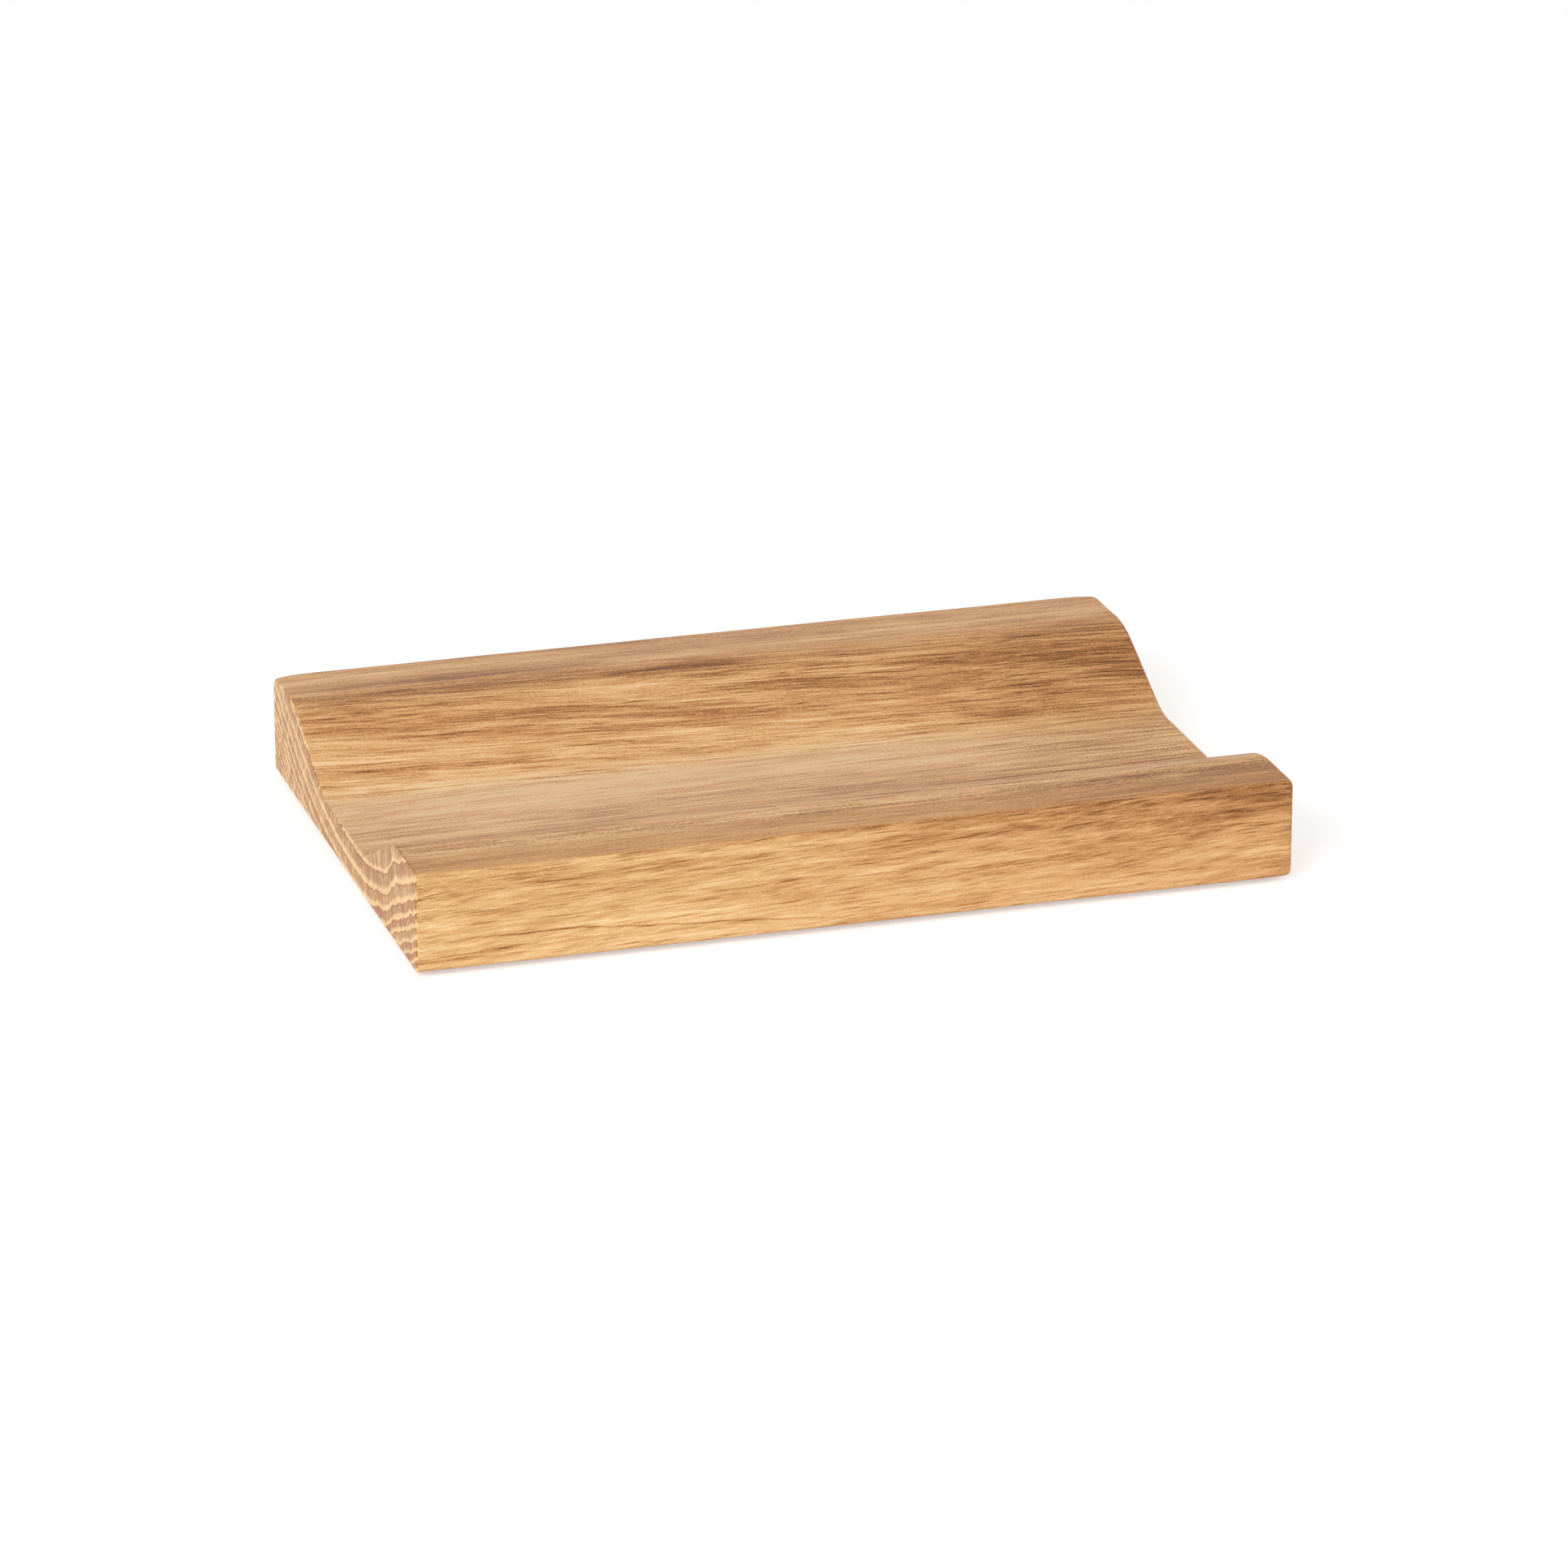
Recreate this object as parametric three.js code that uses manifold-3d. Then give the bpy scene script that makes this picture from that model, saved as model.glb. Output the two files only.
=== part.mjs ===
// Serving board: a thick oak plank with a wide trough along its length, open at both ends, standing on
// four low push-in feet. Millimetres, +Z up. The origin lies under the middle of the board, on the
// surface that it stands on. X runs along the trough and -Y is the front.

import * as THREE from 'three';
import { mergeVertices } from 'three/addons/utils/BufferGeometryUtils.js';
import Module from 'manifold-3d';

// Plank, as seen from its end: rim, wall, floor, wall, rim
const boardLength = 300;
const rimWidth = 22.5; // flat top, from the side of the plank to where the wall starts to fall
const wallRun = 56; // level distance from the rim to the floor
const floorWidth = 43;
const floorThickness = 14.2; // wood left under the trough
const troughDepth = 19.8;
const browRadius = 36; // rounds the top of each wall
const heelRadius = 28.5; // rounds the foot of each wall

// Eased edges of the plank
const rimEdgeRadius = 1.2;
const undersideEdgeRadius = 1.6;
const endEdgeRadius = 0.8;
const arcDivisions = 4;
const endEdgeSteps = 3;

// Feet, moulded in one piece with a ribbed stem
const footRadius = 6.5;
const footHeight = 2; // stands proud of the underside
const footEdgeRadius = 0.6;
const footEndInset = 30; // from the plank's ends to the foot's centre
const footSideInset = 20; // from the plank's sides to the foot's centre
const stemRadius = 2.2;
const ribRadius = 2.7;
const ribCount = 3;
const ribPitch = 2;
const roundDivisions = 28;

// Blind hole for each foot's stem
const stemClearance = 0.3;
const holeEndClearance = 0.6;

const boardWidth = 2 * (rimWidth + wallRun) + floorWidth;
const boardThickness = floorThickness + troughDepth;
const stemLength = ribCount * ribPitch;

const wasm = await Module();
wasm.setup();

function solidFrom(geometry) {
  const bare = geometry.clone();
  bare.deleteAttribute('normal');
  bare.deleteAttribute('uv');
  const merged = mergeVertices(bare);
  const mesh = new wasm.Mesh({
    numProp: 3,
    vertProperties: new Float32Array(merged.attributes.position.array),
    triVerts: new Uint32Array(merged.index.array),
  });
  return new wasm.Manifold(mesh);
}

function geometryFrom(solid) {
  const mesh = solid.getMesh();
  const geometry = new THREE.BufferGeometry();
  geometry.setAttribute('position', new THREE.BufferAttribute(mesh.vertProperties, 3));
  geometry.setIndex(new THREE.BufferAttribute(mesh.triVerts, 1));
  geometry.computeVertexNormals();
  return geometry;
}

// Slope of the straight stretch between the brow and the heel of a wall, for
// run * sin(slope) + (radii - depth) * cos(slope) = radii, where radii is the sum of both
function wallSlope(radii) {
  const across = radii - troughDepth;
  const reach = Math.hypot(wallRun, across);
  return Math.asin(Math.min(1, radii / reach)) - Math.atan2(across, wallRun);
}

// Section of the plank with the underside on y = 0 and the middle of the trough on x = 0. It runs
// from the front underside edge along the underside, up the back, and over the top to the front.
function plankSection() {
  const halfWidth = boardWidth / 2;
  const halfFloor = floorWidth / 2;
  const browAt = halfFloor + wallRun;
  const widestRadii = (wallRun ** 2 + troughDepth ** 2) / (2 * troughDepth);
  const fit = Math.min(1, widestRadii / (browRadius + heelRadius));
  const brow = fit * browRadius;
  const heel = fit * heelRadius;
  const slope = wallSlope(brow + heel);
  const right = Math.PI / 2;
  const browCentre = boardThickness - brow;
  const heelCentre = floorThickness + heel;
  const under = undersideEdgeRadius;
  const rim = rimEdgeRadius;

  const section = new THREE.Shape();
  section.moveTo(-halfWidth + under, 0);
  section.lineTo(halfWidth - under, 0);
  section.absarc(halfWidth - under, under, under, -right, 0);
  section.absarc(halfWidth - rim, boardThickness - rim, rim, 0, right);
  section.absarc(browAt, browCentre, brow, right, right + slope);
  section.absarc(halfFloor, heelCentre, heel, -right + slope, -right, true);
  section.absarc(-halfFloor, heelCentre, heel, -right, -right - slope, true);
  section.absarc(-browAt, browCentre, brow, right - slope, right);
  section.absarc(-halfWidth + rim, boardThickness - rim, rim, right, 2 * right);
  section.absarc(-halfWidth + under, under, under, 2 * right, 3 * right);
  return section;
}

function footPlaces() {
  const places = [];
  for (const [row, yWay] of [['front', -1], ['rear', 1]]) {
    for (const [side, xWay] of [['left', -1], ['right', 1]]) {
      const x = xWay * (boardLength / 2 - footEndInset);
      const y = yWay * (boardWidth / 2 - footSideInset);
      places.push({ name: `foot_${row}_${side}`, x, y });
    }
  }
  return places;
}

// The plank stands on the feet, so its underside is one foot height up
function plankGeometry() {
  const plank = new THREE.ExtrudeGeometry(plankSection(), {
    depth: boardLength - 2 * endEdgeRadius,
    curveSegments: arcDivisions,
    bevelThickness: endEdgeRadius,
    bevelSize: endEdgeRadius,
    bevelOffset: -endEdgeRadius,
    bevelSegments: endEdgeSteps,
  });
  plank.translate(0, 0, endEdgeRadius - boardLength / 2);
  const alongY = new THREE.Vector3(0, 1, 0);
  const alongZ = new THREE.Vector3(0, 0, 1);
  const alongX = new THREE.Vector3(1, 0, 0);
  plank.applyMatrix4(new THREE.Matrix4().makeBasis(alongY, alongZ, alongX));
  plank.translate(0, 0, footHeight);

  const holeRadius = ribRadius + stemClearance;
  const holeDepth = stemLength + holeEndClearance;
  let solid = solidFrom(plank);
  for (const { x, y } of footPlaces()) {
    const hole = new THREE.CylinderGeometry(holeRadius, holeRadius, 2 * holeDepth, roundDivisions);
    hole.rotateX(Math.PI / 2);
    hole.translate(x, y, footHeight);
    solid = solid.subtract(solidFrom(hole));
  }
  return geometryFrom(solid);
}

// A disc with a rounded lower edge, and a stem whose ribs have a flat side down and a taper up, so that
// the foot goes in easily and stays in
function footGeometry() {
  const profile = new THREE.Path();
  profile.moveTo(0, 0);
  profile.lineTo(footRadius - footEdgeRadius, 0);
  profile.absarc(footRadius - footEdgeRadius, footEdgeRadius, footEdgeRadius, -Math.PI / 2, 0);
  profile.lineTo(footRadius, footHeight);
  profile.lineTo(stemRadius, footHeight);
  for (let rib = 0; rib < ribCount; rib += 1) {
    const top = footHeight + (rib + 1) * ribPitch;
    profile.lineTo(stemRadius, top - ribPitch / 2);
    profile.lineTo(ribRadius, top - ribPitch / 2);
    profile.lineTo(stemRadius, top);
  }
  profile.lineTo(0, footHeight + stemLength);
  const foot = new THREE.LatheGeometry(profile.getPoints(arcDivisions), roundDivisions);
  foot.rotateX(Math.PI / 2);
  return foot;
}

// Oiled oak, as sanded
function oakFinish() {
  return new THREE.MeshStandardMaterial({ color: 0xd3a56f, roughness: 0.55, metalness: 0 });
}

function siliconeFinish() {
  return new THREE.MeshStandardMaterial({ color: 0x4a4743, roughness: 0.7, metalness: 0 });
}

const servingBoard = new THREE.Group();

const oakBoard = new THREE.Mesh(plankGeometry(), oakFinish());
oakBoard.name = 'oak_board';
servingBoard.add(oakBoard);

for (const { name, x, y } of footPlaces()) {
  const foot = new THREE.Mesh(footGeometry(), siliconeFinish());
  foot.name = name;
  foot.position.set(x, y, 0);
  servingBoard.add(foot);
}

export default servingBoard;
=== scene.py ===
import math

import bpy
import numpy as np
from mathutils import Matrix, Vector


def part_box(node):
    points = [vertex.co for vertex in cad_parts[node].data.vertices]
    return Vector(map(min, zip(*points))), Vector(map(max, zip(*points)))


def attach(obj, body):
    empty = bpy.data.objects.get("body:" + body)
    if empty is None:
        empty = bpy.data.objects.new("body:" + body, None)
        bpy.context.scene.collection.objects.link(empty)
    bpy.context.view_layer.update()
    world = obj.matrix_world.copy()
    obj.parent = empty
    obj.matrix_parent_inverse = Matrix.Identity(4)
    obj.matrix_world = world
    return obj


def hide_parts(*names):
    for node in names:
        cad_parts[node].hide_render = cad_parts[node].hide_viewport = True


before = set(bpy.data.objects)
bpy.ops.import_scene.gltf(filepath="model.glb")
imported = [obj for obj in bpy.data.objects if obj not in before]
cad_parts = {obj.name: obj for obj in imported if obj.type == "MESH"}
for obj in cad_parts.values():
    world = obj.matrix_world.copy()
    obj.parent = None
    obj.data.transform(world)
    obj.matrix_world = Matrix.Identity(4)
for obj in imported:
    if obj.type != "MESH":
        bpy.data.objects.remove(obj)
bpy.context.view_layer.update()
print("frame loaded:", ", ".join(sorted(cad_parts)))


# camera, set by the perspective of the plank's edges in the photo
view = {
    "place": (-0.67192, -2.22993, 0.88213),
    "downward": 20.4124,    # degrees below level
    "turn": 16.8543,        # degrees, towards +X from straight ahead
    "focalPixels": 9040.1,
    "imagePixels": 1932,
}


def makeCamera(values):
    data = bpy.data.cameras.new("photo_camera")
    data.sensor_width = 36.0
    data.lens = data.sensor_width * values["focalPixels"] / values["imagePixels"]
    data.clip_end = 50.0
    camera = bpy.data.objects.new("photo_camera", data)
    camera.location = values["place"]
    camera.rotation_euler = (
        math.radians(90 - values["downward"]), 0.0, math.radians(-values["turn"]))
    bpy.context.scene.collection.objects.link(camera)
    bpy.context.scene.camera = camera
    return camera


makeCamera(view)
print("camera set")


# stops of a colour ramp: place along it and colour
def setStops(ramp, stops):
    while len(ramp.elements) > 1:
        ramp.elements.remove(ramp.elements[-1])
    ramp.elements[0].position = stops[0][0]
    ramp.elements[0].color = stops[0][1]
    for place, colour in stops[1:]:
        ramp.elements.new(place).color = colour


# a socket that can be used in sums: each operation adds a Math node to the material
class Wire:
    def __init__(self, tree, socket=None):
        self.tree = tree
        self.socket = socket

    # any node: its type, its settings, then the values or links of its sockets
    def node(self, kind, settings=None, sockets=None, output=0):
        made = self.tree.nodes.new(kind)
        for name, value in (settings or {}).items():
            if name == "stops":
                setStops(made.color_ramp, value)
            else:
                setattr(made, name, value)
        for key, value in (sockets or {}).items():
            if isinstance(value, Wire):
                self.tree.links.new(value.socket, made.inputs[key])
            else:
                made.inputs[key].default_value = value
        return Wire(self.tree, made.outputs[output] if len(made.outputs) else None)

    def math(self, operation, *values):
        return self.node("ShaderNodeMath", {"operation": operation}, dict(enumerate(values)))

    def __add__(self, other):
        return self.math("ADD", self, other)

    def __sub__(self, other):
        return self.math("SUBTRACT", self, other)

    def __rsub__(self, other):
        return self.math("SUBTRACT", other, self)

    def __mul__(self, other):
        return self.math("MULTIPLY", self, other)

    def __truediv__(self, other):
        return self.math("DIVIDE", self, other)

    def __rtruediv__(self, other):
        return self.math("DIVIDE", other, self)

    def __pow__(self, other):
        return self.math("POWER", self, other)

    __radd__ = __add__
    __rmul__ = __mul__

    # 0 below low, 1 above high, and a smooth step between; the other way round when low is above high
    def step(self, low, high):
        return self.node(
            "ShaderNodeMapRange", {"interpolation_type": "SMOOTHSTEP"},
            {"Value": self, "From Min": low, "From Max": high})

    def vector(self, x, y, z):
        return self.node("ShaderNodeCombineXYZ", None, {0: x, 1: y, 2: z})

    # smooth noise about 0, mostly within -0.5 to 0.5
    def noise(self, x, y, z, detail=2.0, roughness=0.5):
        found = self.node(
            "ShaderNodeTexNoise", None,
            {"Vector": self.vector(x, y, z), "Scale": 1.0, "Detail": detail, "Roughness": roughness})
        return found - 0.5

    # distance to the nearest of many scattered points
    def cells(self, x, y, z):
        return self.node(
            "ShaderNodeTexVoronoi", None, {"Vector": self.vector(x, y, z), "Scale": 1.0})

    def ramp(self, factor, stops):
        return self.node("ShaderNodeValToRGB", {"stops": stops}, {0: factor})

    def blend(self, factor, first, second, way="MIX"):
        return self.node(
            "ShaderNodeMix", {"data_type": "RGBA", "blend_type": way},
            {0: factor, 6: first, 7: second}, 2)


def hexColour(text):
    parts = [int(text[i:i + 2], 16) / 255 for i in (0, 2, 4)]
    linear = [p / 12.92 if p <= 0.04045 else ((p + 0.055) / 1.055) ** 2.4 for p in parts]
    return (*linear, 1.0)


def startMaterial(name):
    material = bpy.data.materials.new(name)
    material.use_nodes = True
    material.node_tree.nodes.clear()
    return material, Wire(material.node_tree)


def finishMaterial(wire, shader):
    wire.node("ShaderNodeOutputMaterial", None, {"Surface": shader})


# coordinates of the piece in millimetres
def millimetres(wire):
    place = wire.node("ShaderNodeTexCoord", None, None, 3)
    split = wire.node("ShaderNodeSeparateXYZ", None, {0: place})
    sockets = split.socket.node.outputs
    return [Wire(wire.tree, sockets[i]) * 1000 for i in range(3)]


# solid oak: growth rings lie under each other as wide bowls, hollow side up, along the plank
oak = {
    "halfLength": 150.0,     # of the plank, mm
    "underside": 2.0,        # height of the plank's underside and of its middle, mm
    "middleHeight": 18.0,
    "endFaces": (149.35, 149.75),    # end grain sets in at this distance from the middle, mm
    "sideFaces": (99.3, 99.5),       # and the grain of the long sides at this one
    "ringMiddle": -6.0,      # y of the bowls' lowest line, mm
    "ringSlope": 0.80,       # how steeply the bowls rise far from the middle
    "ringBend": 120.0,       # half width of the round bottom of the bowls, mm
    "ringStart": -13.6,      # depth of one ring's first row of pores, mm
    "ringWidth": 8.84,       # width of that ring; those below it get narrower
    "ringNarrowing": 0.00243,
    "narrowedDepth": 32.0,   # below this they are all alike
    "ringDrift": -0.020,     # change of depth along the plank, mm for each mm
    # from the darkest pores over brown and golden wood to the palest rays
    "shades": [
        (0.0, hexColour("5e3212")),
        (0.25, hexColour("a06630")),
        (0.5, hexColour("ce955c")),
        (0.75, hexColour("e8b57a")),
        (1.0, hexColour("f6d19e")),
    ],
    "shade": 0.60,           # mean place on the shades
    "sheenColour": hexColour("e6bb98"),       # painted sheen: a pale colour mixed in on the floor of the trough and the back rim
    "rimColour": hexColour("c98d4c"),          # mixed in on the front rim
    "goldenTint": (1.03, 1.11, 1.13, 1.0),     # of the front, fading to the right
    "endLateColour": hexColour("ffd89b"),
    "endEarlyColour": hexColour("b06c3b"),
    # darker and lighter stretches of the wood: place and reach in mm, and change of shade
    "stretches": [
        ((135, 54, 28), (140, 42, 28), -0.25),
        ((-110, 46, 24), (70, 20, 10), -0.05),
        ((-95, 72, 34), (110, 12, 10), -0.18),
        ((-25, 72, 34), (80, 9, 8), -0.14),
        ((-70, 81, 36), (110, 5, 4), -0.09),
        ((-130, 62, 31), (60, 14, 10), -0.14),
        ((-105, 90, 36), (130, 9, 4), 0.24),
        ((40, 84, 36), (120, 6, 4), 0.12),
        ((10, 58, 29), (150, 26, 14), -0.10),
        ((105, 30, 19), (90, 14, 8), -0.06),
        ((140, -100, 34), (160, 40, 26), -0.23),
        ((0, 92, 36), (260, 20, 14), -0.10),
        ((-125, 88, 36), (100, 16, 8), -0.05),
        ((-50, 14, 16), (230, 24, 8), 0.40),
        ((-115, 8, 16), (90, 30, 8), 0.10),
        ((70, -18, 16), (120, 14, 6), -0.16),
        ((-90, -100, 8), (170, 30, 24), 0.12),
        ((60, -100, 3), (220, 12, 11), 0.08),
        ((80, -90, 36), (200, 16, 8), -0.09),
        ((20, -99.6, 35.6), (90, 1.4, 1.4), -0.22),
        ((138, -100, 32), (18, 3, 3.5), -0.12),
        ((-150, -88, 36), (1.6, 26, 5), -0.5),
    ],
    # dark grain lines on the front: x and z of both ends in mm, and change of shade
    "grainLines": [
        ((-150, 12.3), (-96, 12.2), 0.22),
        ((-106, 12.3), (-8, 5.9), 0.30),
        ((-150, 6.0), (-112, 8.5), 0.20),
        ((-72, 29.8), (-48, 32.3), 0.20),
        ((-54, 19.1), (-16, 20.7), 0.22),
        ((5, 14.0), (46, 17.3), 0.16),
        ((60, 32.9), (74, 33.9), 0.26),
    ],
    "lineWave": 2.4,         # how far those lines wander, and their half width, mm
    "lineWidth": 0.55,
    "roughness": 0.5,
    "gloss": 0.4,
    "reliefStrength": 0.25,
    "reliefDepth": 0.0002,   # m
}


# soft ellipsoids of lighter (above 0) and darker (below 0) wood, added up
def woodTone(x, y, z, stretches):
    shares = []
    for place, reach, strength in stretches:
        parts = [(c - p) / r for c, p, r in zip((x, y, z), place, reach)]
        away = (parts[0] * parts[0] + parts[1] * parts[1] + parts[2] * parts[2]) ** 0.5
        shares.append(away.step(1.0, 0.0) * strength)
    return sum(shares)


# dark lines from one place to another, a little wavy and thinning out at both ends
def darkLines(w, x, z, values):
    shares = []
    wave = values["lineWave"] * w.noise(x * 0.06, z * 0.1, 0.0, 3.0, 0.6)
    for (startX, startZ), (stopX, stopZ), strength in values["grainLines"]:
        rise = (stopZ - startZ) / (stopX - startX)
        away = w.math("ABSOLUTE", z - startZ - (x - startX) * rise + wave)
        faded = x.step(startX - 2, startX + 8) * x.step(stopX + 2, stopX - 10)
        shares.append(away.step(values["lineWidth"], 0.1) * faded * strength)
    return sum(shares)


def oakMaterial(values):
    material, w = startMaterial("oiled_oak")
    x, y, z = millimetres(w)
    along = x + values["halfLength"]                  # from the left end
    endGrain = w.math("ABSOLUTE", x).step(*values["endFaces"])
    fromMiddle = w.math("ABSOLUTE", y)
    sideStart, sideFull = values["sideFaces"]
    sideFace = fromMiddle.step(sideStart, sideFull)
    frontFace = y.step(-sideStart, -sideFull)

    # fibres lean a little against the length of the plank, differently from place to place
    wallLean = y.step(8, 40) * (1 - 0.7 * y.step(62, 92))
    sway = w.noise(x * 0.012, y * 0.03, z * 0.03, 1.0)
    fibreX = x * (1 + 1.1 * sideFace)
    fibreY = y + x * (0.07 * wallLean - 0.02) + 4.0 * sway
    fibreZ = z - x * (0.045 * sideFace) + 3.0 * sway
    broad = w.noise(x * 0.010 + 2.7, fibreY * 0.12, fibreZ * 0.12, 2.0, 0.6)
    lines = w.noise(fibreX * 0.014, fibreY * 0.55, fibreZ * 0.55, 4.0, 0.85)
    mottle = w.noise(fibreX * 0.025, fibreY * 0.42, fibreZ * 0.42, 3.0, 0.8)
    thin = w.noise(fibreX * 0.03, fibreY * 1.7, fibreZ * 1.7, 2.0, 0.8)
    speck = w.noise(x, y, z * 1.3, 2.0, 0.7)
    crossing = w.noise(fibreX * 0.008, fibreY * 0.7, fibreZ * 0.7, 2.0, 0.6)
    hairs = w.math("ABSOLUTE", crossing).step(0.035, 0.006)    # thin and long, where that noise is 0

    # the walls and the sides are cut across the fibres, not along them; the border is ragged
    border = fromMiddle + 6 * x.step(0, 150) + 20 * lines + 14 * mottle
    wall = border.step(23, 28) * border.step(80, 72)
    torn = w.math("MAXIMUM", wall, sideFace)

    # depth below the bowl through the origin, with the waves of a grown trunk
    across = y - values["ringMiddle"]
    reach = (across * across + values["ringBend"] ** 2) ** 0.5
    bowl = values["ringSlope"] * (reach - values["ringBend"])
    lean = values["ringSlope"] * across / reach
    tangent = y + lean * (z - values["middleHeight"])     # runs along the rings, across the rays
    slowWave = w.noise(x * 0.007, y * 0.02, z * 0.02, 1.0)
    scallop = w.math("ABSOLUTE", w.noise(x * 0.012, tangent * 0.11, z * 0.05, 1.0))
    feather = w.noise(x * 0.011, fibreY * 0.30, fibreZ * 0.30, 2.0)
    fineFeather = w.noise(x * 0.022, fibreY * 1.1, fibreZ * 1.1, 2.0)
    dip = y.step(-70, -61) * y.step(-5, -45)          # a kink that the rings have near the front
    depth = bowl - z + values["underside"] + values["ringDrift"] * along - 2.5 * dip
    depth = depth + 2.0 * slowWave + 4.5 * scallop + 1.5 * feather + 1.4 * fineFeather

    # place within a ring: 0 at its first pores, 1 at the end of its dense late wood
    below = depth - values["ringStart"]
    narrowed = w.math("MINIMUM", below, values["narrowedDepth"])
    turns = below / values["ringWidth"] + values["ringNarrowing"] * narrowed * (2 * below - narrowed)
    ringNumber = w.math("FLOOR", turns)
    inRing = turns - ringNumber
    chance = w.node("ShaderNodeTexWhiteNoise", {"noise_dimensions": "1D"}, {"W": ringNumber})
    topRing = w.math("LESS_THAN", ringNumber, -0.5)   # the uppermost one, with little late wood
    early = inRing.step(0.0, 0.05) * inRing.step(0.86 + 0.1 * topRing, 0.52 + 0.26 * topRing)
    poreZone = inRing.step(0.0, 0.04) * inRing.step(0.55, 0.10)

    # fibres, cut lengthwise: fine lines, and brown strands of many such lines with ragged ends, strong on
    # the walls and the sides and faint on the sanded tops
    tone = woodTone(x, y, z, values["stretches"])
    strand = w.noise(fibreX * 0.012 + 5.2, fibreY * 0.30, fibreZ * 0.30, 2.0, 0.6)
    strands = (strand + 0.9 * lines + 0.5 * mottle + 0.5 * broad - 0.4 * tone).step(0.0, 0.12)
    evened = 1 - 0.55 * x.step(0, 100) * y.step(25, 45)        # calmer on the right of the back wall
    ragged = 1.2 * lines + 0.4 * mottle + 1.3 * thin + 0.5 * speck - 0.22 * (strands - 0.45) * evened
    ragged = ragged - (0.06 + 0.16 * strands) * (hairs - 0.3)
    ragged = ragged * (0.9 + 0.25 * evened - 0.42 * sideFace)
    smooth = (0.7 * lines + 0.9 * mottle + 0.5 * thin + 0.6 * speck) * (1 + 0.8 * y.step(75, 60))
    streaks = (0.8 + 0.4 * wall) * evened * broad + torn * ragged + (1 - torn) * smooth

    # vessels as dark dashes, rays as pale flecks, and the dark lines of the front
    vessels = w.cells(x / 20, fibreY / 0.9, fibreZ / 0.9).step(0.42, 0.16)
    dashes = w.cells(x / 16 + 7.3, fibreY / 0.9, fibreZ / 0.7).step(0.40, 0.15)
    flecks = w.cells(x / 19 + 3.1, fibreY / 1.2, fibreZ / 1.1).step(0.42, 0.15)
    dark = sideFace * (0.20 * dashes - 0.06 * flecks) + 0.16 * poreZone * vessels
    dark = dark + frontFace * darkLines(w, x, z, values)

    # colour of the long faces, with its local tints and a painted sheen on the tops
    shade = values["shade"] + tone + streaks - dark - 0.06 * (early - 0.45)
    sideColour = w.ramp(shade, values["shades"])
    # painted sheen: the floor of the trough and the back rim are mixed towards a pale colour, not on the
    # ragged walls
    sandingAndSheen = 0.28 * fromMiddle.step(34, 20) * x.step(150, 20) + 0.1 * y.step(74, 82)
    sideColour = w.blend(sandingAndSheen * (1 - torn), sideColour, values["sheenColour"])
    sideColour = w.blend(0.5 * y.step(-80, -88) * (1 - torn), sideColour, values["rimColour"])
    sideColour = w.blend(frontFace * x.step(120, -100), sideColour, values["goldenTint"], "MULTIPLY")

    # on the ends the rings show as brown and cream bands, crossed by the rays
    rays = w.noise(x * 0.03, tangent * 1.2, depth * 0.05, 2.0)
    fineRays = w.noise(x * 0.03, tangent * 3.2, depth * 0.3, 2.0, 0.7)
    poreRow = inRing.step(0.0, 0.04) * inRing.step(0.20, 0.05)
    banding = early * (0.6 + 0.2 * chance) * (1 - 0.15 * y.step(-20, 60)) + 0.3 * poreRow
    endShade = banding + 1.5 * rays + (2.4 + 1.0 * y.step(-20, 60)) * fineRays + 0.5 * broad
    endColour = w.blend(endShade.step(-0.1, 1.0), values["endLateColour"], values["endEarlyColour"])
    base = w.blend(endGrain, sideColour, endColour)

    relief = 0.4 * streaks - 0.6 * dark
    normal = w.node(
        "ShaderNodeBump", None,
        {"Strength": values["reliefStrength"], "Distance": values["reliefDepth"], "Height": relief})
    rough = values["roughness"] + 0.3 * dark
    shader = w.node(
        "ShaderNodeBsdfPrincipled", None,
        {"Base Color": base, "Roughness": rough, "Normal": normal,
         "Specular IOR Level": values["gloss"]})
    finishMaterial(w, shader)
    return material


# dark moulded silicone of the feet, matt, with a little dust
silicone = {
    "colour": hexColour("4a4743"),
    "dustColour": hexColour("8d877e"),
    "roughness": 0.62,
    "reliefStrength": 0.2,
    "reliefDepth": 0.0001,   # m
}


def siliconeMaterial(values):
    material, w = startMaterial("moulded_silicone")
    x, y, z = millimetres(w)
    grain = w.noise(x * 9, y * 9, z * 9, 3.0)
    cloud = w.noise(x * 0.5, y * 0.5, z * 0.5, 3.0)
    dust = cloud.step(0.0, 0.3) * 0.3 + grain.step(0.12, 0.3) * 0.2
    base = w.blend(dust, values["colour"], values["dustColour"])
    normal = w.node(
        "ShaderNodeBump", None,
        {"Strength": values["reliefStrength"], "Distance": values["reliefDepth"], "Height": grain})
    rough = values["roughness"] + 0.2 * cloud
    shader = w.node(
        "ShaderNodeBsdfPrincipled", None, {"Base Color": base, "Roughness": rough, "Normal": normal})
    finishMaterial(w, shader)
    return material


oakFinish = oakMaterial(oak)
siliconeFinish = siliconeMaterial(silicone)
print("oak and silicone mixed")


def addPiece(name, vertices, faces, finish):
    mesh = bpy.data.meshes.new(name)
    mesh.from_pydata(vertices, [], faces)
    mesh.validate()
    mesh.shade_smooth()
    mesh.materials.append(finish)
    piece = bpy.data.objects.new(name, mesh)
    bpy.context.scene.collection.objects.link(piece)
    return piece


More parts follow.
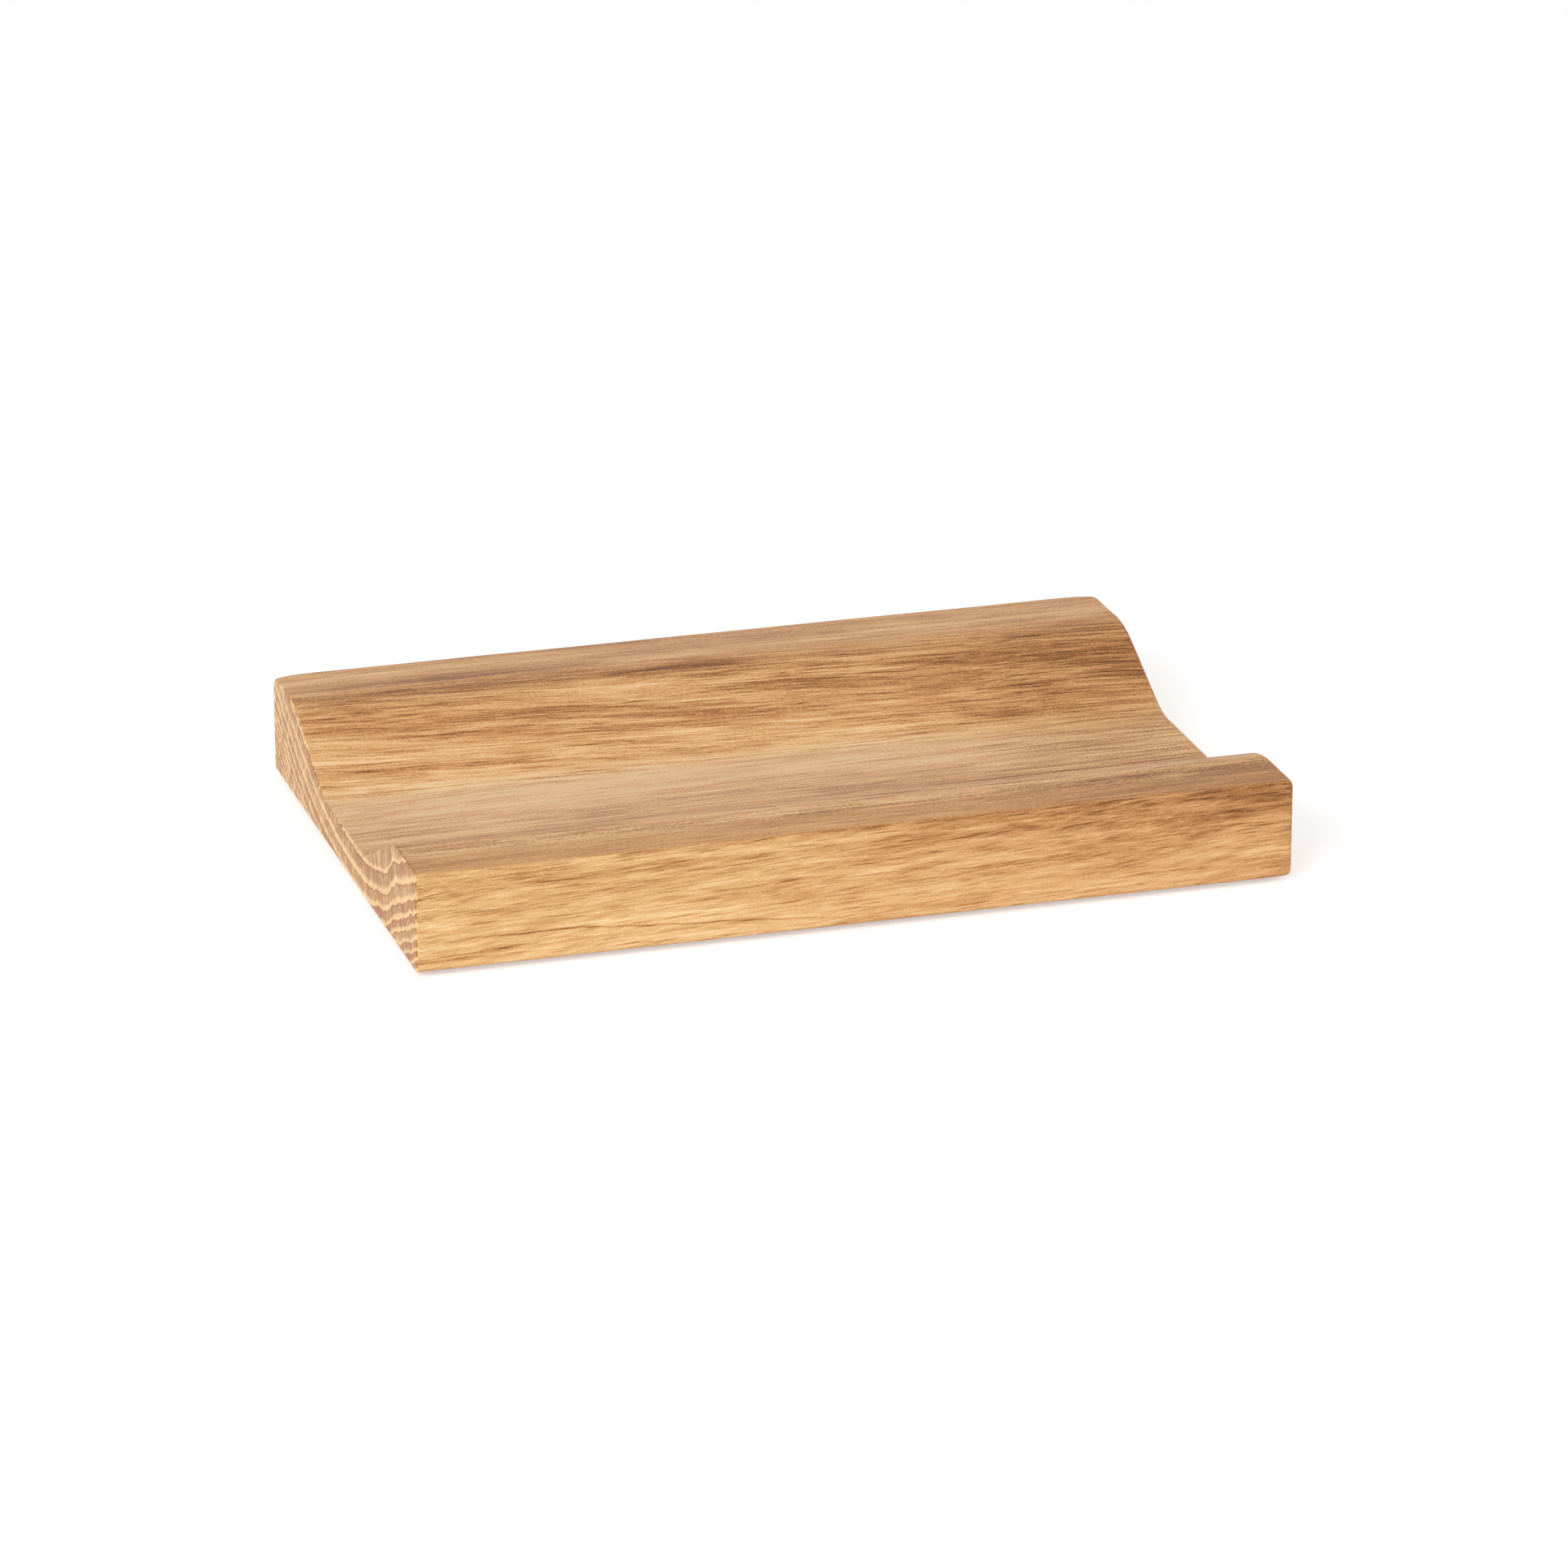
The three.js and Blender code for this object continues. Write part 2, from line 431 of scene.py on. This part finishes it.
# a profile of radius and height turned about a vertical line: x = radius * cos(turn),
# y = radius * sin(turn), z = height. The profile goes from its lower pole to its upper pole.
def turned(profile, steps, centre):
    radius = profile[1:-1, 0]
    height = profile[1:-1, 1]
    turn = np.arange(steps) * 2 * math.pi / steps
    rings = np.stack([
        centre[0] + np.outer(radius, np.cos(turn)),
        centre[1] + np.outer(radius, np.sin(turn)),
        centre[2] + np.repeat(height[:, None], steps, 1)], axis=-1).reshape(-1, 3)
    poles = [[centre[0], centre[1], centre[2] + h] for h in profile[[0, -1], 1]]
    vertices = np.vstack([rings, poles])
    here = np.arange(steps)
    there = (here + 1) % steps
    rows = np.arange(len(radius) - 1)[:, None] * steps
    quads = np.stack([rows + here, rows + there, rows + steps + there, rows + steps + here], axis=-1)
    last = (len(radius) - 1) * steps
    bottom = np.stack([there, here, np.full(steps, len(rings))], axis=-1)
    top = np.stack([last + here, last + there, np.full(steps, len(rings) + 1)], axis=-1)
    faces = quads.reshape(-1, 4).tolist() + bottom.tolist() + top.tolist()
    return vertices.tolist(), faces


# plank with a trough along it
plank = {
    "rimWidth": 0.0225,        # flat top, from the side to where the wall starts to fall
    "wallRun": 0.056,          # level distance from the rim to the floor
    "floorThickness": 0.0142,
    "browRadius": 0.036,       # top of each wall
    "heelRadius": 0.0285,      # foot of each wall
    "endEdges": (0.0008, 0.0018),                # radii at the left and right end
    "wornEdge": 0.0029,                          # right end at the back of its top, rubbed rounder
    "wornAcross": (0.055, 0.095),                # y and z over which that sets in
    "wornHeight": (0.012, 0.030),
    "capInset": 1.2,                             # flat rim of each end, as a share of its edges
    # radii of the other edges: back rim, front rim and underside
    "edges": (0.0012, 0.0012, 0.0016),
    "leftCorners": (0.0048, 0.0012, 0.0016),     # the same, at the ends, where they are rubbed rounder
    "rightCorners": (0.0056, 0.0030, 0.0026),
    "cornerReach": 0.0043,
    "alongStep": 0.0025,       # spacing of the mesh along the plank
    "sanding": 0.00012,        # depth of the low waves that sanding leaves
    "holeRadius": 0.003,
    "holeDepth": 0.0066,
    "holeSteps": 64,
    "sharpAngle": 40,          # degrees
}


# the plank's end as a closed line: arcs, each from a centre, a radius and the turn of its outward
# normals, joined by straight runs. A point is centre + radius * normal, so a hollow arc's radius is
# negative, and point - inset * normal lies that deep in the wood. The last two numbers of an arc are
# its steps and those of the run that follows.
def plankOutline(values, low, high, edges):
    backRim, frontRim, under = edges
    half = high.y
    brow = values["browRadius"]
    heel = values["heelRadius"]
    browAt = half - values["rimWidth"]
    floorAt = browAt - values["wallRun"]
    floorLevel = low.z + values["floorThickness"]
    across = brow + heel - (high.z - floorLevel)
    reach = math.hypot(values["wallRun"], across)
    slope = math.asin((brow + heel) / reach) - math.atan2(across, values["wallRun"])
    right = math.pi / 2
    arcs = [
        (half - under, low.z + under, under, -right, 0, 6, 16),
        (half - backRim, high.z - backRim, backRim, 0, right, 10, 11),
        (browAt, high.z - brow, brow, right, right + slope, 14, 16),
        (floorAt, floorLevel + heel, -heel, right + slope, right, 12, 21),
        (-floorAt, floorLevel + heel, -heel, right, right - slope, 12, 16),
        (-browAt, high.z - brow, brow, right - slope, right, 14, 11),
        (-half + frontRim, high.z - frontRim, frontRim, right, 2 * right, 10, 16),
        (-half + under, low.z + under, under, 2 * right, 3 * right, 6, 98),
    ]
    bends = []
    for y, z, radius, start, stop, steps, _ in arcs:
        turn = np.linspace(start, stop, steps + 1)
        normals = np.stack([np.cos(turn), np.sin(turn)], axis=-1)
        bends.append((np.array([y, z]) + radius * normals, normals))
    points = []
    normals = []
    for bend, following, arc in zip(bends, bends[1:] + bends[:1], arcs):
        run = following[0][0] - bend[0][-1]
        count = arc[-1]
        share = np.arange(1, count)[:, None] / count
        points += [bend[0], bend[0][-1] + share * run]
        normals += [bend[1], np.repeat(bend[1][-1:], count - 1, 0)]
    return np.vstack(points), np.vstack(normals)


# stations along x, close together on the rounded edges of the ends: x = edge * (1 - cos(turn)) from
# the end. The first two and the last two lie in the ends.
def plankStations(values, low, high):
    turn = np.linspace(0, math.pi / 2, 8)
    endX = np.concatenate([[0], 1 - np.cos(turn), [1.5]])
    left = low.x + values["endEdges"][0] * endX
    right = high.x - values["wornEdge"] * endX[::-1]
    count = round((right[0] - left[-1]) / values["alongStep"])
    body = np.linspace(left[-1], right[0], count + 1)[1:-1]
    return np.concatenate([left, body, right])


# a quarter round as an inset at some distance from the end: edge - sqrt(edge^2 - (edge - distance)^2)
def roundedInset(distance, edge):
    share = np.clip(1 - distance[:, None] / edge, 0, 1)
    return edge * (1 - np.sqrt(1 - share ** 2))


# 0 below low, 1 above high, and between them 3 share^2 - 2 share^3
def smoothShare(places, low, high):
    share = np.clip((places - low) / (high - low), 0, 1)
    return share * share * (3 - 2 * share)


# the outline carried along the stations, with edges that get rounder towards the ends by
# exp(-distance / reach); sanding = depth * (1 + product of slow sines) / 2, inwards, nowhere on the
# underside
def plankSurface(values, low, high):
    points, normals = plankOutline(values, low, high, values["edges"])
    x = plankStations(values, low, high)
    leftEdge, rightEdge = values["endEdges"]
    worn = smoothShare(points[:, 0], *values["wornAcross"])
    worn = worn * smoothShare(points[:, 1], *values["wornHeight"])
    rightEdges = rightEdge + (values["wornEdge"] - rightEdge) * worn
    leftEdges = np.full(len(points), leftEdge)
    inset = roundedInset(x - low.x, leftEdges) + roundedInset(high.x - x, rightEdges)
    inset[[0, -1]] *= values["capInset"]
    gap = np.hypot(*np.diff(points, axis=0, append=points[:1]).T)
    way = np.cumsum(gap) - gap
    wave = np.sin(x[:, None] * 71 + way * 23) * np.sin(way * 57 - x[:, None] * 16 + 1.3)
    sandingAndSheen = values["sanding"] * (1 + wave) / 2 * np.clip(normals[:, 1] + 1, 0, 1)
    yz = points - (inset + sandingAndSheen)[..., None] * normals
    for corners, toEnd in (("leftCorners", x - low.x), ("rightCorners", high.x - x)):
        rounder = plankOutline(values, low, high, values[corners])[0] - points
        yz = yz + np.exp(-toEnd / values["cornerReach"])[:, None, None] * rounder
    grid = np.concatenate([np.repeat(x[:, None, None], len(points), 1), yz], axis=-1)
    rows, columns = grid.shape[:2]
    index = np.arange(rows * columns).reshape(rows, columns)
    beside = np.roll(index, -1, axis=1)
    quads = np.stack([index[:-1], beside[:-1], beside[1:], index[1:]], axis=-1).reshape(-1, 4)
    caps = [index[0][::-1].tolist(), index[-1].tolist()]
    return grid.reshape(-1, 3).tolist(), quads.tolist() + caps


# blind holes for the stems of the feet
def boreHoles(board, values, centres, underside):
    radius = values["holeRadius"]
    depth = values["holeDepth"]
    profile = np.array([[0, -depth], [radius, -depth], [radius, depth], [0, depth]])
    for number, (x, y) in enumerate(centres):
        hole = turned(profile, values["holeSteps"], (x, y, underside))
        drill = addPiece("drill_%d" % number, *hole, oakFinish)
        cut = board.modifiers.new("bore", "BOOLEAN")
        cut.operation = "DIFFERENCE"
        cut.solver = "EXACT"
        cut.object = drill
        solid = board.evaluated_get(bpy.context.evaluated_depsgraph_get())
        bored = bpy.data.meshes.new_from_object(solid)
        board.modifiers.clear()
        board.data = bored
        bpy.data.objects.remove(drill)


footNodes = ["foot_front_left", "foot_front_right", "foot_rear_left", "foot_rear_right"]


def footCentre(node):
    low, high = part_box(node)
    return (low.x + high.x) / 2, (low.y + high.y) / 2


plankLow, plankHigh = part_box("oak_board")
board = addPiece("trough_board", *plankSurface(plank, plankLow, plankHigh), oakFinish)
boreHoles(board, plank, [footCentre(node) for node in footNodes], plankLow.z)
board.data.set_sharp_from_angle(angle=math.radians(plank["sharpAngle"]))
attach(board, "root")
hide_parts("oak_board")
print("plank shaped and bored:", len(board.data.polygons), "faces")


# push-in foot: a disc with a dished sole, and a stem with three barbs
foot = {
    "radius": 0.0065,
    "height": 0.002,
    "soleEdge": 0.0006,
    "topEdge": 0.0002,
    "dishRadius": 0.0042,
    "dishDepth": 0.00025,
    "stemRadius": 0.0022,
    "barbRadius": 0.0027,
    "barbPitch": 0.002,
    "barbs": 3,
    "turnSteps": 96,
    "sharpAngle": 40,          # degrees
}


# profile from the middle of the sole, over the rounded edge and up the barbed stem
def footProfile(values):
    dish = np.linspace(0, 1, 9)
    dishLine = np.stack([
        values["dishRadius"] * dish,
        values["dishDepth"] * (0.5 + 0.5 * np.cos(math.pi * dish ** 4))], axis=-1)
    turn = np.linspace(-math.pi / 2, 0, 7)
    sole = values["soleEdge"]
    edge = np.stack([
        values["radius"] - sole + sole * np.cos(turn), sole + sole * np.sin(turn)], axis=-1)
    turn = np.linspace(0, math.pi / 2, 4)
    top = values["topEdge"]
    rim = np.stack([
        values["radius"] - top + top * np.cos(turn),
        values["height"] - top + top * np.sin(turn)], axis=-1)
    stem = values["stemRadius"]
    barb = values["barbRadius"]
    pitch = values["barbPitch"]
    # one barb: radius and share of the pitch
    shape = np.array([
        [stem, 0.0], [stem, 0.46], [barb - 0.0001, 0.5],
        [barb, 0.56], [barb, 0.62], [stem, 0.98]])
    shape = shape * [1, pitch]
    starts = values["height"] + pitch * np.arange(values["barbs"])
    stemLine = np.concatenate([shape + [0, start] for start in starts])
    tip = values["height"] + pitch * values["barbs"]
    return np.vstack([dishLine, edge, rim, stemLine, [[stem * 0.93, tip], [0, tip]]])


for node in footNodes:
    low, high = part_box(node)
    centre = (*footCentre(node), low.z)
    surface = turned(footProfile(foot), foot["turnSteps"], centre)
    piece = addPiece(node + "_moulded", *surface, siliconeFinish)
    piece.data.set_sharp_from_angle(angle=math.radians(foot["sharpAngle"]))
    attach(piece, "root")
    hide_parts(node)
print("feet moulded:", len(footNodes))


# pale floor and soft light from a few large panels
studio = {
    "floorRadius": 6.0,
    "floorSides": 96,
    "floorLevel": -0.0001,     # just under the soles of the feet
    "floorColour": (0.86, 0.86, 0.86, 1.0),
    "floorGlow": 0.45,         # added where it is seen, so that it comes out white
    "worldStrength": 0.5,
    "panels": {
        "key": {"place": (-1.6, -1.7, 1.3), "size": 1.4, "power": 38.0},
        "fill": {"place": (1.6, -1.2, 1.2), "size": 1.4, "power": 7.0},
    },
}


# camera, mirror and glass rays see plain white, other rays see the light
def seenRays(w):
    path = w.node("ShaderNodeLightPath")
    outputs = path.socket.node.outputs
    names = ("Is Camera Ray", "Is Glossy Ray", "Is Transmission Ray")
    camera, glossy, through = [Wire(w.tree, outputs[name]) for name in names]
    return w.math("MAXIMUM", w.math("MAXIMUM", camera, glossy), through)


def floorMaterial(values):
    material, w = startMaterial("pale_floor")
    seen = seenRays(w)
    matt = w.node("ShaderNodeBsdfDiffuse", None, {"Color": values["floorColour"]})
    glow = w.node(
        "ShaderNodeEmission", None, {"Color": (1, 1, 1, 1), "Strength": seen * values["floorGlow"]})
    finishMaterial(w, w.node("ShaderNodeAddShader", None, {0: matt, 1: glow}))
    return material


# a level disc: x = radius * cos(turn), y = radius * sin(turn)
def makeFloor(values):
    sides = values["floorSides"]
    radius = values["floorRadius"]
    turn = np.linspace(0, 2 * math.pi, sides + 1)[:-1]
    level = np.full(sides, values["floorLevel"])
    ring = np.stack([radius * np.cos(turn), radius * np.sin(turn), level], axis=-1)
    floor = addPiece("floor", ring.tolist(), [list(range(sides))], floorMaterial(values))


def makePanel(name, values):
    data = bpy.data.lights.new(name, "AREA")
    data.energy = values["power"]
    data.size = values["size"]
    panel = bpy.data.objects.new(name, data)
    panel.location = values["place"]
    towards = -panel.location
    panel.rotation_euler = towards.to_track_quat("-Z", "Y").to_euler()
    bpy.context.scene.collection.objects.link(panel)


def makeWorld(values):
    world = bpy.data.worlds.new("studio")
    world.use_nodes = True
    world.node_tree.nodes.clear()
    w = Wire(world.node_tree)
    seen = seenRays(w)
    strength = values["worldStrength"] + (1 - values["worldStrength"]) * seen
    light = w.node("ShaderNodeBackground", None, {"Color": (1, 1, 1, 1), "Strength": strength})
    w.node("ShaderNodeOutputWorld", None, {"Surface": light})
    bpy.context.scene.world = world


makeFloor(studio)
makeWorld(studio)
for panelName, panelValues in studio["panels"].items():
    makePanel(panelName, panelValues)
bpy.context.scene.view_settings.view_transform = "Standard"
print("floor and lights placed")
